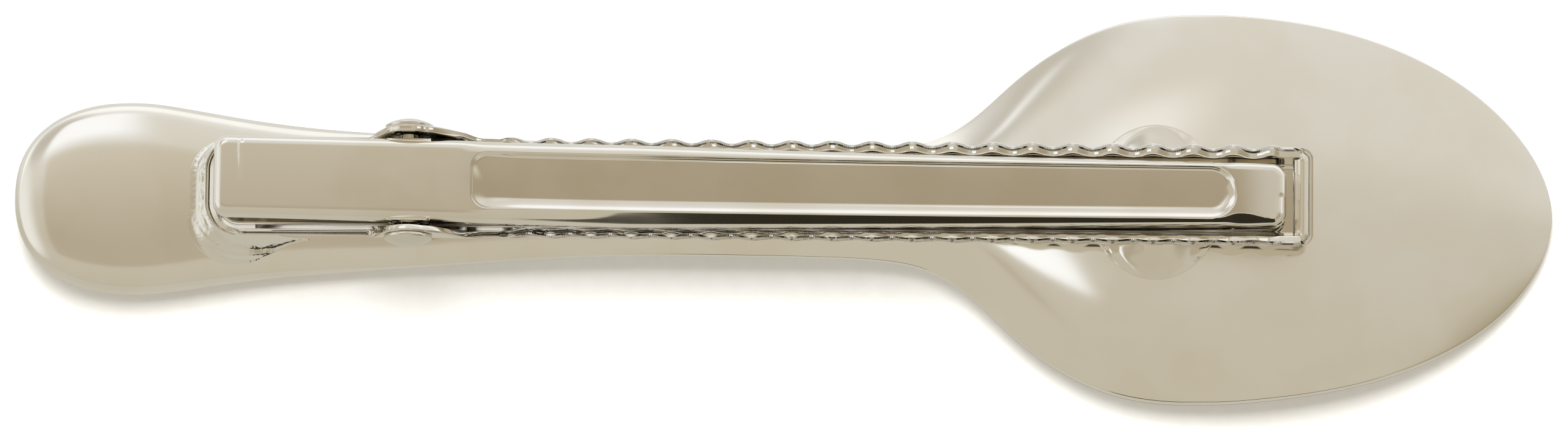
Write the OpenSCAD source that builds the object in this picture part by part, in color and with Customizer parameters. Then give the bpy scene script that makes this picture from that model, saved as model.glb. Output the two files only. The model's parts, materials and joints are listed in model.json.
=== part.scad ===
// Alligator hair clip on a decorative spoon.
// A sprung, toothed clip is soldered along the convex back of a small polished spoon.
// X runs from the knob to the bowl tip, Z points up out of the back of the bowl,
// and the origin is under the middle of the spoon, on the surface that it rests on.
// "Station" is the distance in millimetres from the knob end of the spoon.

/* [Spoon] */
// Length from the knob end to the bowl tip
spoon_length = 105; // [104:0.5:108]
// Widest part of the bowl
bowl_width = 27.2; // [26:0.2:28]
// Widest part of the knob
knob_width = 13.2; // [12.8:0.2:14]
// Narrowest part of the handle
waist_width = 7.7; // [7.2:0.1:8.2]
// Thickness of the metal in the bowl
bowl_wall = 1.2; // [1.1:0.1:1.4]
// Thickness of the knob
knob_thickness = 4.4; // [4:0.1:4.6]

/* [Lower jaw] */
// Station of the outer face of the jaw's tail end
jaw_tail = 13.1; // [12.9:0.1:13.2]
// Station of the outer face of the jaw's tip end
jaw_tip = 88.5; // [88.2:0.1:90]
// Width over the toothed edges
jaw_width = 6.9; // [6.9:0.1:7.2]
// Height of the underside of the tray above the rest surface
tray_bottom = 4.75; // [4.75:0.05:4.9]
// Height of the side walls over the underside
wall_height = 1.85; // [1.7:0.05:1.9]
// How far each wall leans outward over its height
wall_flare = 0.5; // [0.4:0.05:0.55]
// Distance between teeth
tooth_pitch = 2.73; // [2.5:0.01:3]
// Height of the teeth from root to tip
tooth_height = 0.45; // [0.3:0.05:0.6]
// Gauge of the jaw's sheet
jaw_gauge = 0.45; // [0.4:0.05:0.5]

/* [Upper lever] */
// Station of the lever's tail end
lever_tail = 13.8; // [13.8:0.1:14.2]
// Station of the lever's tip
lever_tip = 86.6; // [86:0.1:86.8]
// Width at the tail
lever_tail_width = 5.7; // [5.5:0.1:5.7]
// Width at the tip
lever_tip_width = 4.3; // [4.2:0.05:4.4]
// Gauge of the lever's sheet
lever_gauge = 0.42; // [0.38:0.01:0.42]
// Depth of the embossed groove
groove_depth = 0.3; // [0.15:0.05:0.3]
// Width of the embossed groove
groove_width = 3.4; // [3:0.1:3.4]

/* [Hinge] */
// Station of the pin's axis
pin_station = 27; // [26.5:0.1:27.5]
// Height of the pin's axis
pin_height = 7.9; // [7.9:0.05:8]
// Radius of the pin's shank
pin_radius = 0.6; // [0.5:0.05:0.6]
// Radial running clearance of the lever on the pin
pin_clearance = 0.05; // [0.02:0.01:0.08]
// Diameter of the rivet's domed heads
head_diameter = 3.3; // [3.1:0.05:3.5]
// Wire diameter of the torsion spring
wire_diameter = 0.38; // [0.34:0.02:0.38]

/* [Hidden] */
$fn = 48;

// Stations of the widest knob and bowl sections
knob_widest = 8.3;
bowl_widest = 79.5;
bowl_reach = spoon_length - bowl_widest;

// Height of the bowl's edge face
rim_band = 0.9;

// Half-width of the spoon between its two widest sections: [station, half-width]
outline = [
    [knob_widest, knob_width / 2], [12, 6.2], [17, 5.45], [24, 4.8], [31, 4.38],
    [38, 4], [47, waist_width / 2], [55, 3.87], [59, 3.95], [62, 4.4], [65, 6],
    [68, 8.75], [71.5, 11.35], [75.3, 13], [bowl_widest, bowl_width / 2]
];
// Height of the middle of the spoon's edge: [station, height]
edge_line = [
    [0, 2.2], [11, 2.15], [22, 1.95], [30, 2.6], [39, 3.35], [50, 3.4], [57, 3.05],
    [64, 1.95], [72, 1.75], [79, 2.1], [87, 2.55], [93, 2.2], [99, 1.3], [103, 0.6],
    [spoon_length, rim_band / 2]
];
// Height of the ridge along the back: [station, height]
crest_line = [
    [0, knob_thickness], [11, knob_thickness], [17, 4], [24, 3.6], [32, 4.1], [40, 4.5],
    [50, 4.55], [60, 4.3], [68, 4.35], [78, 4.7], [86, 4.55], [92, 4], [97, 3.1],
    [101, 2.05], [103.5, 1.35], [spoon_length, rim_band]
];
// Metal thickness along the centre line: [station, thickness]
thickness_line = [
    [0, knob_thickness], [10, knob_thickness], [18, 3.2], [28, 2.6], [45, 2.5],
    [58, 2.3], [66, 1.7], [74, bowl_wall], [97, bowl_wall], [spoon_length, rim_band]
];
// Height of the flat band along the edge: [station, height]
band_line = [[0, 0.7], [20, 0.5], [55, 0.5], [72, rim_band], [spoon_length, rim_band]];
// Fullness of the section, from a pillow (low) to a shallow dish (high)
fullness_line = [
    [0, 0.33], [12, 0.38], [24, 0.5], [56, 0.5], [70, 0.7], [spoon_length, 0.75]
];
knob_plan_power = 2.3;
knob_side_power = 3;
tip_power = 2.3;
tip_root = 0.54;
section_steps = 14;
ring_spacing = 1.5;

// The jaw's tray: wide round corners at the tail, tight ones at the tip
tail_radius = 2.3;
tip_radius = 0.8;
least_radius = 0.15;
side_margin = 1.3;
corner_step = 15;
points_per_tooth = 6;
teeth_from = 33.2;
teeth_to = 86;
wall_top = tray_bottom + wall_height;
tray_floor = tray_bottom + jaw_gauge;

// The ears that carry the rivet
ear_from = 24.2;
ear_to = 32.2;
ear_radius = 1.75;
ear_outer = 3.7;
ear_foot = tray_floor + 0.6;

// The lever's top surface is straight under the thumb, then falls gently to a turned-down tip
lever_tip_top = 7.4;
thumb_end = 31;
lever_line = [
    [lever_tail, 10.19], [thumb_end, 9.17], [36.4, 8.75], [44.7, 8.4], [53, 8.15],
    [61.3, 7.97], [69.6, 7.87], [78, 7.8], [83, 7.68], [lever_tip, lever_tip_top]
];
taper_from = 42;
lever_step = 4;
lever_corner = 0.9;
tail_skirt = 0.8;
tip_skirt = 1.3;
lug_radius = 1.5;
groove_from = 31.8;
groove_to = 83;
groove_corner = 1;
lip_length = 0.45;
lip_half_width = 1.7;
lip_gap = 0.06;

// The rivet's heads
head_rim = 0.25;
head_dome = 0.45;
pin_sides = 64;

// The torsion spring hangs on the pin, with both legs towards the tail
coil_radius = 1.13;
coil_drop = 0.32;
coil_turns = 5;
coil_pitch = 0.44;
coil_step = 18;
wire_sides = 8;
leg_gap = 0.03;
upper_leg_end = 17.5;
lower_leg_end = 16.5;

// The two soldered seats: middle, half-size and the level that they are cut at
bowl_seat = [77.8, 0, 4.15];
bowl_seat_size = [3.4, 4.9, 1.5];
bowl_seat_floor = 3.9;
handle_seat = [16.2, 0, 3.1];
handle_seat_size = [4, 5.1, 2.25];
handle_seat_floor = 2.5;
solder_fn = 32;
solder_gap = 0.01;

// ---- Curves ----

// X coordinate of a station
function at(station) = station - spoon_length / 2;

// Index of the table row at or before a station
function row_before(table, s) =
    max([for (i = [0:len(table) - 2]) if (i == 0 || table[i][0] <= s) i]);

// Slope of a table at one of its rows
function row_slope(table, i) =
    let (a = table[max(i - 1, 0)], b = table[min(i + 1, len(table) - 1)])
    (b[1] - a[1]) / (b[0] - a[0]);

// Value of a table at a station, along a smooth cubic through its rows
function smooth(table, s) =
    let (
        i = row_before(table, s),
        a = table[i],
        b = table[i + 1],
        span = b[0] - a[0],
        t = (s - a[0]) / span,
        rise_a = row_slope(table, i) * span,
        rise_b = row_slope(table, i + 1) * span
    )
    a[1] * (2 * t ^ 3 - 3 * t ^ 2 + 1) + rise_a * (t ^ 3 - 2 * t ^ 2 + t)
    + b[1] * (3 * t ^ 2 - 2 * t ^ 3) + rise_b * (t ^ 3 - t ^ 2);

// Half-width of the spoon at a station
function half_width(s) =
    s < knob_widest
        ? knob_width / 2
          * (1 - ((knob_widest - s) / knob_widest) ^ knob_plan_power) ^ (1 / knob_plan_power)
    : s > bowl_widest
        ? bowl_width / 2 * (1 - ((s - bowl_widest) / bowl_reach) ^ tip_power) ^ tip_root
    : smooth(outline, s);

// Share of the knob's thickness that is left near its rounded end
function knob_share(s) =
    s < knob_widest
        ? (1 - ((knob_widest - s) / knob_widest) ^ knob_side_power) ^ (1 / knob_side_power)
        : 1;

// One closed section of the spoon: along the back, then along the underside
function spoon_section(s) =
    let (
        w = half_width(s),
        share = knob_share(s),
        edge = smooth(edge_line, s),
        band = smooth(band_line, s) / 2 * share,
        crest = smooth(crest_line, s),
        rise = (crest - edge) * share - band,
        drop = (edge - crest + smooth(thickness_line, s)) * share - band,
        fullness = smooth(fullness_line, s)
    )
    [
        for (side = [1, -1], j = [0:section_steps])
            let (v = -side * cos(180 * j / section_steps))
            side > 0
                ? [at(s), w * v, edge + band + rise * (1 - v ^ 2) ^ fullness]
                : [at(s), w * v, edge - band - drop * (1 - v ^ 2) ^ fullness]
    ];

// Height of the lever's top surface, straight under the thumb and bowed beyond it
function lever_top(s) =
    s < thumb_end
        ? lookup(s, lever_line)
        : smooth(lever_line, s);

// Depth of the lever's side skirts
function skirt(s) =
    tail_skirt + (tip_skirt - tail_skirt) * min(1, (s - lever_tail) / (thumb_end - lever_tail));

// Half-width of the lever at a station: even at the tail, tapering to the tip
function lever_half(s) =
    (lever_tail_width + (lever_tip_width - lever_tail_width)
        * max(0, s - taper_from) / (lever_tip - taper_from)) / 2;

// Height of a toothed wall's edge at a station
function tooth_wave(s) =
    s > teeth_from && s < teeth_to
        ? tooth_height / 2 * sin(360 * (s - teeth_from) / tooth_pitch)
        : 0;

// Loop round the tray, inset from its rim; each point is [x, y, station]
function tray_loop(inset) =
    let (
        w = jaw_width / 2 - inset,
        r0 = tail_radius - inset,
        r1 = max(tip_radius - inset, least_radius),
        s0 = jaw_tail + tail_radius,
        s1 = jaw_tip - inset - r1,
        step = tooth_pitch / points_per_tooth,
        sides = [for (s = [s0 + step:step:jaw_tip - side_margin]) s]
    )
    concat(
        [for (a = [180:-corner_step:90]) [s0 + r0 * cos(a), w - r0 + r0 * sin(a)]],
        [for (s = sides) [s, w]],
        [for (a = [90:-corner_step:0]) [s1 + r1 * cos(a), w - r1 + r1 * sin(a)]],
        [for (a = [0:-corner_step:-90]) [s1 + r1 * cos(a), r1 - w + r1 * sin(a)]],
        [for (i = [len(sides) - 1:-1:0]) [sides[i], -w]],
        [for (a = [270:-corner_step:180]) [s0 + r0 * cos(a), r0 - w + r0 * sin(a)]]
    );

// The same loop at a height, with or without the wave of the teeth
function raised_loop(inset, z, wave) =
    [for (p = tray_loop(inset)) [at(p[0]), p[1], z + (wave ? tooth_wave(p[0]) : 0)]];

// Rounded outline of a strip that tapers beyond a station, from its tail to its tip
function strip(s0, w0, s1, w1, r0, r1, even_to) = concat(
    [for (a = [180:-corner_step:90]) [at(s0 + r0 + r0 * cos(a)), w0 - r0 + r0 * sin(a)]],
    [[at(even_to), w0]],
    [for (a = [90:-corner_step:0]) [at(s1 - r1 + r1 * cos(a)), w1 - r1 + r1 * sin(a)]],
    [for (a = [0:-corner_step:-90]) [at(s1 - r1 + r1 * cos(a)), r1 - w1 + r1 * sin(a)]],
    [[at(even_to), -w0]],
    [for (a = [270:-corner_step:180]) [at(s0 + r0 + r0 * cos(a)), r0 - w0 + r0 * sin(a)]]
);

// Point where a line from a point touches a circle
function tangent_point(centre, r, from, side) =
    let (
        to = from - centre,
        a = atan2(to[1], to[0]) + side * acos(r / norm(to))
    )
    centre + r * [cos(a), sin(a)];

// Middle of a loop of points
function middle(loop) = [for (k = [0:2]) sum([for (p = loop) p[k]]) / len(loop)];
function sum(values) = values * [for (v = values) 1];

// Skin over a stack of equal loops, closed by a fan at each end
module skin(loops) {
    n = len(loops[0]);
    last = len(loops) - 1;
    count = n * (last + 1);
    polyhedron(
        points = concat([for (ring = loops, p = ring) p], [middle(loops[0]), middle(loops[last])]),
        faces = concat(
            [for (i = [0:n - 1]) [(i + 1) % n, i, count]],
            [for (k = [0:last - 1], i = [0:n - 1])
                let (j = (i + 1) % n) [k * n + i, (k + 1) * n + j, (k + 1) * n + i]],
            [for (k = [0:last - 1], i = [0:n - 1])
                let (j = (i + 1) % n) [k * n + i, k * n + j, (k + 1) * n + j]],
            [for (i = [0:n - 1]) [last * n + i, last * n + (i + 1) % n, count + 1]]
        )
    );
}

// ---- Spoon ----

module spoon() {
    stations = concat(
        [for (a = [4:8:84]) knob_widest * (1 - cos(a))],
        [for (s = [knob_widest:ring_spacing:bowl_widest - ring_spacing / 2]) s],
        [for (a = [0:4:88]) bowl_widest + bowl_reach * sin(a)],
        [spoon_length - 0.001]
    );
    first = [for (p = spoon_section(stations[0])) [at(0), p[1] / 4, p[2]]];
    color("silver") skin(concat([first], [for (s = stations) spoon_section(s)]));
}

// ---- Clip ----

// Solid block with the outer shape of the tray
module tray_block() {
    skin([
        raised_loop(wall_flare - solder_gap, tray_bottom, false),
        raised_loop(-solder_gap, wall_top, false)
    ]);
}

module tray_shell() {
    skin([
        raised_loop(wall_flare, tray_bottom, false),
        raised_loop(0, wall_top, true),
        raised_loop(jaw_gauge, wall_top, true),
        raised_loop(wall_flare + jaw_gauge, tray_floor, false)
    ]);
}

// Upright ear on one side, round about the pin
module ear(side) {
    pin = [at(pin_station), pin_height];
    foot_tail = [at(ear_from), ear_foot];
    foot_tip = [at(ear_to), ear_foot];
    translate([0, side > 0 ? ear_outer : jaw_gauge - ear_outer, 0])
        rotate([90, 0, 0])
            linear_extrude(height = jaw_gauge) {
                translate(pin) circle(r = ear_radius, $fn = pin_sides);
                polygon([
                    foot_tail, foot_tip, tangent_point(pin, ear_radius, foot_tip, 1),
                    tangent_point(pin, ear_radius, foot_tail, -1)
                ]);
            }
}

// Straight cylinder along the hinge axis
module along_pin(r, length) {
    translate([at(pin_station), 0, pin_height])
        rotate([90, 0, 0]) cylinder(r = r, h = length, center = true, $fn = pin_sides);
}

module lower_jaw() {
    color("gainsboro") difference() {
        union() {
            tray_shell();
            ear(1);
            ear(-1);
        }
        along_pin(pin_radius, 3 * jaw_width);
    }
}

// Band that follows the lever's top surface, between two depths below it
module lever_band(top_depth, tail_depth, tip_depth) {
    stations = concat(
        [lever_tail, thumb_end],
        [for (s = [thumb_end + lever_step:lever_step:lever_tip - 1]) s],
        [lever_tip]
    );
    last = len(stations) - 1;
    function depth(s) =
        tail_depth + (tip_depth - tail_depth)
            * min(1, (s - lever_tail) / (thumb_end - lever_tail));
    rotate([90, 0, 0]) linear_extrude(height = 2 * jaw_width, center = true)
        polygon(concat(
            [for (s = stations) [at(s), lever_top(s) - top_depth]],
            [for (i = [last:-1:0])
                [at(stations[i]), lever_top(stations[i]) - depth(stations[i])]]
        ));
}

// Upright prism over an outline
module prism(points) {
    linear_extrude(height = 20) polygon(points);
}

// Outline of the lever, inset by a wall
module lever_plan(inset) {
    prism(strip(
        lever_tail + inset, lever_tail_width / 2 - inset,
        lever_tip - inset, lever_tip_width / 2 - inset,
        lever_corner - inset / 2, lever_corner - inset / 2, taper_from
    ));
}

// Outline of the embossed groove: squarish at the hinge, round at the tip
module groove_plan(grow) {
    w = groove_width / 2 + grow;
    prism(strip(groove_from - grow, w, groove_to + grow, w, groove_corner, w - 0.01, taper_from));
}

// Lug on one side of the lever, round about the pin
module lug(side) {
    outer = lever_half(pin_station);
    translate([0, side > 0 ? outer : lever_gauge - outer, 0])
        rotate([90, 0, 0])
            linear_extrude(height = lever_gauge) {
                translate([at(pin_station), pin_height])
                    circle(r = lug_radius, $fn = pin_sides);
                translate([at(pin_station) - lug_radius, pin_height])
                    square([2 * lug_radius, lever_top(pin_station) - pin_height - lever_gauge / 2]);
            }
}

module upper_lever() {
    color("silver") difference() {
        union() {
            difference() {
                intersection() {
                    lever_band(0, tail_skirt, tip_skirt);
                    lever_plan(0);
                }
                intersection() {
                    lever_band(lever_gauge, 3, 3);
                    lever_plan(lever_gauge);
                }
            }
            intersection() {
                lever_band(lever_gauge / 2, lever_gauge + groove_depth, lever_gauge + groove_depth);
                groove_plan(lever_gauge / 2);
            }
            translate([at(lever_tip) - lip_length, -lip_half_width, tray_floor + lip_gap])
                cube([
                    lip_length, 2 * lip_half_width,
                    lever_tip_top - lever_gauge - tray_floor - lip_gap
                ]);
            lug(1);
            lug(-1);
        }
        intersection() {
            lever_band(-1, groove_depth, groove_depth);
            groove_plan(0);
        }
        along_pin(pin_radius + pin_clearance, jaw_width);
    }
}

// Domed head of the rivet on one side
module rivet_head(side) {
    r = head_diameter / 2;
    ball = (r ^ 2 + head_dome ^ 2) / (2 * head_dome);
    translate([at(pin_station), side * ear_outer, pin_height])
        rotate([-side * 90, 0, 0]) {
            cylinder(r = r, h = head_rim, $fn = pin_sides);
            intersection() {
                translate([0, 0, head_rim]) cylinder(r = r, h = head_dome, $fn = pin_sides);
                translate([0, 0, head_rim + head_dome - ball]) sphere(r = ball, $fn = pin_sides);
            }
        }
}

module hinge_rivet() {
    color("silver") {
        along_pin(pin_radius, 2 * ear_outer);
        rivet_head(1);
        rivet_head(-1);
    }
}

// The spring: upper leg, coil and lower leg in one wire
module torsion_spring() {
    wire = wire_diameter / 2;
    centre = [at(pin_station), pin_height - coil_drop];
    turns = 360 * coil_turns + 180;
    half_length = turns / 360 * coil_pitch / 2;
    upper_end = [
        at(upper_leg_end), half_length,
        lever_top(upper_leg_end) - lever_gauge - wire - leg_gap
    ];
    lower_end = [at(lower_leg_end), -half_length, tray_floor + wire + leg_gap];
    coil = [for (a = [0:coil_step:turns]) [
        centre[0] + coil_radius * sin(a), half_length - coil_pitch * a / 360,
        centre[1] + coil_radius * cos(a)
    ]];
    route = concat([upper_end], coil, [lower_end]);
    last = len(route) - 1;
    color("dimgray") skin([
        for (i = [0:last])
            let (
                along = route[min(i + 1, last)] - route[max(i - 1, 0)],
                side = [0, 1, 0],
                up = cross(side, along) / norm(cross(side, along)),
                out = cross(along, up) / norm(along)
            )
            [for (k = [0:wire_sides - 1])
                let (a = -360 * k / wire_sides)
                route[i] + wire * (cos(a) * up + sin(a) * out)]
    ]);
}

// Flattened blob of solder, cut off at a level inside the spoon and fitted to the tray
module solder_seat(place, size, floor) {
    color("darkgray") difference() {
        translate([at(place[0]), place[1], place[2]])
            scale(size) sphere(r = 1, $fn = solder_fn);
        tray_block();
        translate([at(place[0]), 0, floor - size[1]]) cube(2 * size[1], center = true);
    }
}

module bowl_solder() {
    solder_seat(bowl_seat, bowl_seat_size, bowl_seat_floor);
}

module handle_solder() {
    solder_seat(handle_seat, handle_seat_size, handle_seat_floor);
}

spoon();
lower_jaw();
upper_lever();
hinge_rivet();
torsion_spring();
bowl_solder();
handle_solder();
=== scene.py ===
"""Looks of the alligator hair clip on a polished spoon.

Every length below is in millimetres and is turned into metres where a mesh is made.
"Station" is the distance from the knob end of the spoon, as in the CAD model.
"""

import json
import math
import random

import bmesh
import bpy
import numpy as np
from mathutils import Matrix, Vector

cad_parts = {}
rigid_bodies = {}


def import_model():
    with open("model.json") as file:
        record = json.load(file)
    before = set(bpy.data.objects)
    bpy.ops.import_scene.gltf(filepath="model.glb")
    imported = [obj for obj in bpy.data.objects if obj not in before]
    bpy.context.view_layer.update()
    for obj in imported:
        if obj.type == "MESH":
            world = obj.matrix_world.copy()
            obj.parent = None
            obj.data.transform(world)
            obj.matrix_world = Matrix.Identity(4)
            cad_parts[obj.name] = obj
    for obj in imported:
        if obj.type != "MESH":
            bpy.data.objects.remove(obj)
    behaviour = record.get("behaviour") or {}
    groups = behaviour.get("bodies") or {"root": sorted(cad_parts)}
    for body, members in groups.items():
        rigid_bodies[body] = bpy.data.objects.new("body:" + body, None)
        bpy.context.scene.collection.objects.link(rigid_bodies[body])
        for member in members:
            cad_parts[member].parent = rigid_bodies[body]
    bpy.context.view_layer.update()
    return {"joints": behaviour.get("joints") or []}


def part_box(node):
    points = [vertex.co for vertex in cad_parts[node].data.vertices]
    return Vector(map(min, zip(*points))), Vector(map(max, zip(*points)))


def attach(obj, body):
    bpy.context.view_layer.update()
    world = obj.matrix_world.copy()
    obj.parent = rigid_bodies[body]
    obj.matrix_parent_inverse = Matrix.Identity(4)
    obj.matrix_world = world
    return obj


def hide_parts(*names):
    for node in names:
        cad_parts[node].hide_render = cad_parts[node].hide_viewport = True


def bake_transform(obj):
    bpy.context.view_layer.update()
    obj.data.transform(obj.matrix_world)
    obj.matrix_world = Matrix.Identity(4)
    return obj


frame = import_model()

MM = 0.001
JOINT = frame["joints"][0]
ROOT_BODY = JOINT["parent"]
LEVER_BODY = JOINT["child"]


def node_box(node):
    """Lowest and highest corner of a CAD node, in millimetres."""
    low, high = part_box(node)
    return np.array(low) / MM, np.array(high) / MM


# ---------------------------------------------------------------- sizes from the frame

SPOON_LOW, SPOON_HIGH = node_box("spoon")
JAW_LOW, JAW_HIGH = node_box("lower_jaw")
LEVER_LOW, LEVER_HIGH = node_box("upper_lever")
RIVET_LOW, RIVET_HIGH = node_box("hinge_rivet")

SPOON_LENGTH = SPOON_HIGH[0] - SPOON_LOW[0]
BOWL_HALF = SPOON_HIGH[1]
PIN_X, _, PIN_Z = (c / MM for c in JOINT["pos_m"])
PIN_STATION = PIN_X - SPOON_LOW[0]
JAW_TAIL = JAW_LOW[0] - SPOON_LOW[0]
JAW_TIP = JAW_HIGH[0] - SPOON_LOW[0]
TRAY_BOTTOM = JAW_LOW[2]
LEVER_TAIL = LEVER_LOW[0] - SPOON_LOW[0]
LEVER_TIP = LEVER_HIGH[0] - SPOON_LOW[0]


def at(station):
    """X coordinate of a station."""
    return station + SPOON_LOW[0]


# ---------------------------------------------------------------- curves


def spline(table):
    """Smooth curve (two continuous derivatives) through rows of (position, value)."""
    x, y = np.array(table, float).T
    n = len(x)
    h = np.diff(x)
    a = np.zeros((n, n))
    b = np.zeros(n)
    a[0, 0] = a[-1, -1] = 1
    for i in range(1, n - 1):
        a[i, i - 1 : i + 2] = h[i - 1], 2 * (h[i - 1] + h[i]), h[i]
        b[i] = 6 * ((y[i + 1] - y[i]) / h[i] - (y[i] - y[i - 1]) / h[i - 1])
    bend = np.linalg.solve(a, b)

    def value(p):
        p = np.asarray(p, float)
        i = np.clip(np.searchsorted(x, p) - 1, 0, n - 2)
        lo, hi = p - x[i], x[i + 1] - p
        return (
            bend[i] * hi**3 / (6 * h[i])
            + bend[i + 1] * lo**3 / (6 * h[i])
            + (y[i] / h[i] - bend[i] * h[i] / 6) * hi
            + (y[i + 1] / h[i] - bend[i + 1] * h[i] / 6) * lo
        )

    return value


def smoothstep(start, end, x):
    """0 at start, 1 at end and smooth between them; start may be the larger of the two."""
    t = np.clip((np.asarray(x, float) - start) / (end - start), 0, 1)
    return t * t * (3 - 2 * t)


def rolled(inset, radius):
    """How far a surface drops at a distance from an edge that is rolled over a radius."""
    t = np.clip((radius - np.asarray(inset, float)) / radius, 0, 1)
    return radius * (1 - np.sqrt(1 - t * t))


def ridge(x, middle, width):
    """Bell curve of height 1."""
    return np.exp(-(((x - middle) / width) ** 2))


# ---------------------------------------------------------------- meshes


def mesh_object(name, points, faces, material, merge=1e-5):
    """Smooth-shaded mesh object from points in millimetres."""
    mesh = bpy.data.meshes.new(name)
    mesh.from_pydata((np.asarray(points, float) * MM).tolist(), [], faces)
    work = bmesh.new()
    work.from_mesh(mesh)
    bmesh.ops.remove_doubles(work, verts=work.verts, dist=merge * MM)
    bmesh.ops.dissolve_degenerate(work, dist=merge * MM, edges=work.edges)
    bmesh.ops.recalc_face_normals(work, faces=work.faces)
    for face in work.faces:
        face.smooth = True
    work.to_mesh(mesh)
    work.free()
    mesh.materials.append(material)
    piece = bpy.data.objects.new(name, mesh)
    bpy.context.scene.collection.objects.link(piece)
    return piece


def grid_faces(rows, columns, closed):
    """Quads over a grid of points, closed along its rows or open."""
    faces = []
    for r in range(rows - 1):
        for c in range(columns if closed else columns - 1):
            d = (c + 1) % columns
            low, high = r * columns, (r + 1) * columns
            faces.append((low + c, low + d, high + d, high + c))
    return faces


def loft(loops, capped=True):
    """Points and faces of a skin over equal closed loops, with both ends capped or open."""
    n = len(loops[0])
    faces = grid_faces(len(loops), n, True)
    if capped:
        last = (len(loops) - 1) * n
        faces.append(tuple(reversed(range(n))))
        faces.append(tuple(range(last, last + n)))
    return np.concatenate(loops), faces


def joined(parts):
    """One list of points and faces out of several."""
    points, faces, start = [], [], 0
    for part_points, part_faces in parts:
        points.append(part_points)
        faces += [tuple(start + i for i in face) for face in part_faces]
        start += len(part_points)
    return np.concatenate(points), faces


def turned(profile, steps):
    """Open skin of a profile of (radius, y) turned about the pin's axis."""
    angles = np.linspace(0, 2 * np.pi, steps, endpoint=False)
    loops = []
    for r, y in profile:
        x, z = PIN_X + r * np.cos(angles), PIN_Z + r * np.sin(angles)
        loops.append(np.column_stack([x, np.full(steps, y), z]))
    return loft(loops, capped=False)


def apply_modifiers(piece):
    """Bakes a piece's modifiers into its mesh."""
    bpy.context.view_layer.update()
    evaluated = piece.evaluated_get(bpy.context.evaluated_depsgraph_get())
    done = bpy.data.meshes.new_from_object(evaluated)
    piece.modifiers.clear()
    piece.data = done


def merge_into(target, extra):
    """Joins the mesh of one object into another."""
    work = bmesh.new()
    work.from_mesh(target.data)
    work.from_mesh(extra.data)
    work.to_mesh(target.data)
    work.free()
    bpy.data.objects.remove(extra)


def keep(piece, body, slot, *nodes):
    """Declares which body a piece rides on and the CAD nodes it stands for; slot is not used."""
    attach(piece, body)
    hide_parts(*nodes)
    return piece


# ---------------------------------------------------------------- materials


class Nodes:
    """Short way to add and link shader nodes."""

    def __init__(self, tree):
        self.tree = tree
        tree.nodes.clear()

    def add(self, kind, inputs=None, **settings):
        """New node; an input that is a socket is linked and any other input is set."""
        node = self.tree.nodes.new(kind)
        for key, value in settings.items():
            setattr(node, key, value)
        for key, value in (inputs or {}).items():
            if isinstance(value, bpy.types.NodeSocket):
                self.tree.links.new(value, node.inputs[key])
            else:
                node.inputs[key].default_value = value
        return node

    def math(self, operation, a, b=0.0, clamp=False):
        """Output of a math node."""
        node = self.add("ShaderNodeMath", {0: a, 1: b}, operation=operation, use_clamp=clamp)
        return node.outputs[0]

    def noise(self, place, scale, detail, roughness=0.5):
        """Output of a noise texture."""
        inputs = {"Vector": place, "Scale": scale, "Detail": detail, "Roughness": roughness}
        return self.add("ShaderNodeTexNoise", inputs).outputs["Fac"]

    def smooth_range(self, value, low=0.0, high=1.0, top=1.0):
        """Output that goes smoothly from 0, where value is low, to top, where value is high."""
        inputs = {"Value": value, "From Min": low, "From Max": high, "To Max": top}
        node = self.add("ShaderNodeMapRange", inputs, interpolation_type="SMOOTHSTEP")
        return node.outputs["Result"]

    def bump(self, height, strength, distance, **inputs):
        """Normal from a bump node; distance is in millimetres."""
        inputs = {"Height": height, "Strength": strength, "Distance": distance * MM, **inputs}
        return self.add("ShaderNodeBump", inputs).outputs["Normal"]

    def mix(self, share, first, second):
        """Output of a colour mix; each colour is a socket or a red, green and blue."""
        colours = [c if isinstance(c, bpy.types.NodeSocket) else (*c, 1) for c in (first, second)]
        inputs = {"Factor": share, "A": colours[0], "B": colours[1]}
        return self.add("ShaderNodeMix", inputs, data_type="RGBA").outputs["Result"]

    def ramp(self, value, stops):
        """Output of a colour ramp through stops of (position, colour)."""
        node = self.add("ShaderNodeValToRGB", {"Fac": value})
        node.color_ramp.interpolation = "EASE"
        while len(node.color_ramp.elements) < len(stops):
            node.color_ramp.elements.new(0.5)
        for element, (place, colour) in zip(node.color_ramp.elements, stops):
            element.position = place
            element.color = (*colour, 1)
        return node.outputs["Color"]


def new_material(name):
    """Empty material, its node helper and its object coordinates."""
    material = bpy.data.materials.new(name)
    material.use_nodes = True
    n = Nodes(material.node_tree)
    return material, n, n.add("ShaderNodeTexCoord").outputs["Object"]


def plated_metal(name, tint, shade, rough, scuff, ripple, ripple_scale=90.0, crackle=0.0):
    """Plated metal: tint with faint stains, fine scuffs in the gloss, and a slight ripple."""
    material, n, place = new_material(name)
    colour = n.ramp(n.noise(place, 160.0, 3.0), [(0.35, shade), (0.6, tint)])
    stretched = n.add("ShaderNodeMapping", {"Vector": place, "Scale": (0.25, 1.0, 1.0)})
    hair = n.noise(stretched.outputs["Vector"], 2600.0, 4.0, 0.65)
    patch = n.noise(place, 240.0, 2.0)
    gloss = n.math("ADD", n.math("MULTIPLY", hair, scuff), n.math("MULTIPLY", patch, scuff))
    roughness = n.math("ADD", gloss, max(0.0, rough - scuff), clamp=True)
    normal = n.bump(n.noise(place, ripple_scale, 1.5), ripple, 0.6)
    if crackle:
        inputs = {"Vector": place, "Scale": 2400.0}
        cells = n.add("ShaderNodeTexVoronoi", inputs, feature="DISTANCE_TO_EDGE")
        normal = n.bump(cells.outputs["Distance"], crackle, 0.2, Normal=normal)
    inputs = {"Base Color": colour, "Metallic": 1.0, "Roughness": roughness, "Normal": normal}
    shader = n.add("ShaderNodeBsdfPrincipled", inputs)
    n.add("ShaderNodeOutputMaterial", {"Surface": shader.outputs[0]})
    return material


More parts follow.
